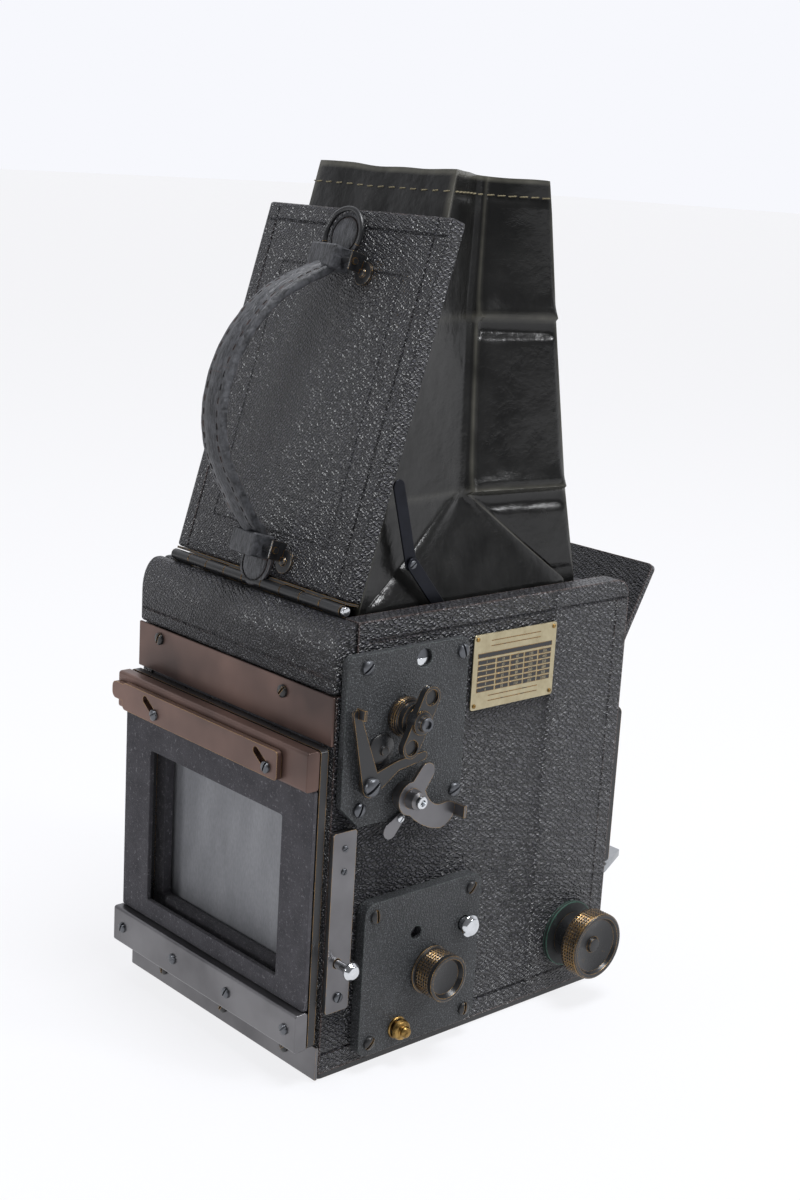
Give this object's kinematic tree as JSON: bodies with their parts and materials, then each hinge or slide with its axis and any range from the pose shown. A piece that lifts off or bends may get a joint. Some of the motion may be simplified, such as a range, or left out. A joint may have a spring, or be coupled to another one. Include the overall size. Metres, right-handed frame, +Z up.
{
  "type": "press camera",
  "caption": "Box-form single-lens reflex press camera with a folding leather viewing hood, strap handle, focal-plane shutter controls, bellows front and revolving plate back.",
  "frame": {"origin": "centre of the underside of the base plate", "axes": "+Z up, -Y towards the lens, +Y towards the film back, -X the side with the shutter controls"},
  "size_m": [0.1793, 0.2671, 0.4078],
  "materials": {
    "leather": "pebbled black leather covering over wood",
    "hood_leather": "soft smooth black leather",
    "wood": "unfinished mahogany",
    "black_enamel": "black enamel worn to brass at the edges",
    "crackle": "black crackle enamel",
    "bronze": "brown patinated brass",
    "brass": "tarnished brass",
    "nickel": "worn nickel plate",
    "aluminium": "satin",
    "velvet": "black velvet and flock",
    "curtain_cloth": "rubberised grey cloth",
    "glass": "ground and polished glass",
    "mirror": "front-silvered glass"
  },
  "bodies": {
    "body": {"case_right_wall": "leather", "case_left_wall": "leather", "case_floor": "wood", "base_plate": "black_enamel", "tripod_bush": "brass", "front_fascia": "leather", "front_frame": "black_enamel", "rear_cap": "leather", "rear_upper_plate": "bronze", "gate_frame": "velvet", "bellows_frame": "velvet", "ground_glass_frame": "black_enamel", "ground_glass": "glass", "curtain": "curtain_cloth", "case_hinge_leaf": "nickel", "hinge_pin": "nickel", "shutter_plate": "crackle", "dome_cap": "black_enamel", "tension_plate": "black_enamel", "speed_plate": "aluminium", "side_strip": "black_enamel", "focus_collar": "bronze", "focus_track": "brass", "viewing_hood": "hood_leather", "bellows": "hood_leather"},
    "lid": {"lid_board": "leather", "lid_hinge_leaf": "nickel", "handle_bracket_lower": "black_enamel", "handle_bracket_upper": "black_enamel"},
    "handle": {"handle_strap": "leather"},
    "stay_upper_right": {"stay_upper_right": "black_enamel"},
    "stay_lower_right": {"stay_lower_right": "black_enamel"},
    "stay_upper_left": {"stay_upper_left": "black_enamel"},
    "stay_lower_left": {"stay_lower_left": "black_enamel"},
    "flap": {"front_flap": "leather"},
    "focus": {"focus_knob": "black_enamel", "pinion_shaft": "brass"},
    "front": {"focus_bed": "aluminium", "front_standard": "black_enamel", "lens_board": "black_enamel", "lens_barrel": "black_enamel", "front_lens": "glass"},
    "winding": {"winding_key": "black_enamel", "upper_roller": "brass"},
    "tension": {"tension_knob": "black_enamel", "lower_roller": "brass"},
    "mirror": {"mirror_frame": "black_enamel", "mirror_glass": "mirror"},
    "set_lever": {"mirror_set_lever": "black_enamel"},
    "pawl": {"pawl_lever": "black_enamel"},
    "time_lever": {"time_lever": "black_enamel"},
    "button": {"chrome_button": "nickel"},
    "brass_release": {"brass_release": "brass"},
    "latch": {"latch_plunger": "nickel"},
    "release_lever": {"release_lever": "nickel"},
    "back": {"back_frame": "black_enamel", "top_rail": "black_enamel", "bottom_rail": "black_enamel", "velvet_frame": "velvet"},
    "lock_bar": {"slide_lock_bar": "black_enamel"}
  },
  "joints": [
    {"name": "lid_hinge", "type": "hinge", "parent": "body", "child": "lid", "pos_m": [0, 0.0825, 0.2183], "axis": [1, 0, 0], "range_deg": [0, 73.4], "deforming": ["viewing_hood"]},
    {"name": "handle_swing", "type": "hinge", "parent": "lid", "child": "handle", "pos_m": [0, 0.08665, 0.23414], "axis": [0, -0.2857, 0.9583], "range_deg": [-45, 45]},
    {"name": "stay_upper_right_turn", "type": "hinge", "parent": "lid", "child": "stay_upper_right", "pos_m": [0, 0.05271, 0.27098], "axis": [1, 0, 0], "range_deg": [-76, 0]},
    {"name": "stay_lower_right_turn", "type": "hinge", "parent": "stay_upper_right", "child": "stay_lower_right", "pos_m": [0, 0.04276, 0.23472], "axis": [1, 0, 0], "range_deg": [-148, 0]},
    {"name": "stay_upper_left_turn", "type": "hinge", "parent": "lid", "child": "stay_upper_left", "pos_m": [0, 0.05271, 0.27098], "axis": [1, 0, 0], "range_deg": [-76, 0]},
    {"name": "stay_lower_left_turn", "type": "hinge", "parent": "stay_upper_left", "child": "stay_lower_left", "pos_m": [0, 0.04276, 0.23472], "axis": [1, 0, 0], "range_deg": [-148, 0]},
    {"name": "flap_hinge", "type": "hinge", "parent": "body", "child": "flap", "pos_m": [0, -0.084, 0.14], "axis": [1, 0, 0], "range_deg": [0, 62]},
    {"name": "focus_turn", "type": "hinge", "parent": "body", "child": "focus", "pos_m": [0, -0.069, 0.032], "axis": [1, 0, 0], "range_deg": [-429, 143]},
    {"name": "front_slide", "type": "slide", "parent": "body", "child": "front", "axis": [0, -1, 0], "range_m": [-0.0448, 0.0148], "deforming": ["bellows"]},
    {"name": "winding_turn", "type": "hinge", "parent": "body", "child": "winding", "pos_m": [0, 0.0575, 0.1706], "axis": [1, 0, 0], "range_deg": [0, 360]},
    {"name": "tension_turn", "type": "hinge", "parent": "body", "child": "tension", "pos_m": [0, 0.033, 0.042], "axis": [1, 0, 0], "range_deg": [0, 360]},
    {"name": "mirror_hinge", "type": "hinge", "parent": "body", "child": "mirror", "pos_m": [0, 0.038, 0.178], "axis": [1, 0, 0], "range_deg": [-45, 0]},
    {"name": "set_lever_turn", "type": "hinge", "parent": "body", "child": "set_lever", "pos_m": [0, 0.0545, 0.1326], "axis": [1, 0, 0], "range_deg": [-45, 0]},
    {"name": "pawl_turn", "type": "hinge", "parent": "body", "child": "pawl", "pos_m": [0, 0.0775, 0.142], "axis": [1, 0, 0], "range_deg": [-8, 0], "stiffness_Nm_per_rad": 0.03, "springref_deg": 8.59},
    {"name": "time_lever_turn", "type": "hinge", "parent": "body", "child": "time_lever", "pos_m": [0, 0.0565, 0.1221], "axis": [1, 0, 0], "range_deg": [-15, 15]},
    {"name": "button_press", "type": "slide", "parent": "body", "child": "button", "axis": [1, 0, 0], "range_m": [0, 0.0025], "stiffness_N_per_m": 200, "springref_m": -0.001},
    {"name": "brass_release_press", "type": "slide", "parent": "body", "child": "brass_release", "axis": [1, 0, 0], "range_m": [0, 0.0015], "stiffness_N_per_m": 200, "springref_m": -0.001},
    {"name": "latch_pull", "type": "slide", "parent": "body", "child": "latch", "axis": [-1, 0, 0], "range_m": [0, 0.004], "stiffness_N_per_m": 200, "springref_m": -0.001},
    {"name": "release_lever_turn", "type": "hinge", "parent": "body", "child": "release_lever", "pos_m": [0, -0.02, 0.062], "axis": [1, 0, 0], "range_deg": [-15, 0], "stiffness_Nm_per_rad": 0.05, "springref_deg": 8.59},
    {"name": "back_turn", "type": "hinge", "parent": "body", "child": "back", "pos_m": [0, 0, 0.08865], "axis": [0, 1, 0], "range_deg": [0, 90]},
    {"name": "lock_bar_slide", "type": "slide", "parent": "back", "child": "lock_bar", "axis": [-0.8288, 0, -0.5595], "range_m": [0, 0.0096]}
  ],
  "couplings": [
    {"joint": "stay_upper_right_turn", "follows": "lid_hinge", "ratio": -1.0284},
    {"joint": "stay_lower_right_turn", "follows": "lid_hinge", "ratio": -2.0068},
    {"joint": "stay_upper_left_turn", "follows": "lid_hinge", "ratio": -1.0284},
    {"joint": "stay_lower_left_turn", "follows": "lid_hinge", "ratio": -2.0068},
    {"joint": "focus_turn", "follows": "front_slide", "rad_per_m": 166.67},
    {"joint": "set_lever_turn", "follows": "mirror_hinge", "ratio": 1}
  ]
}
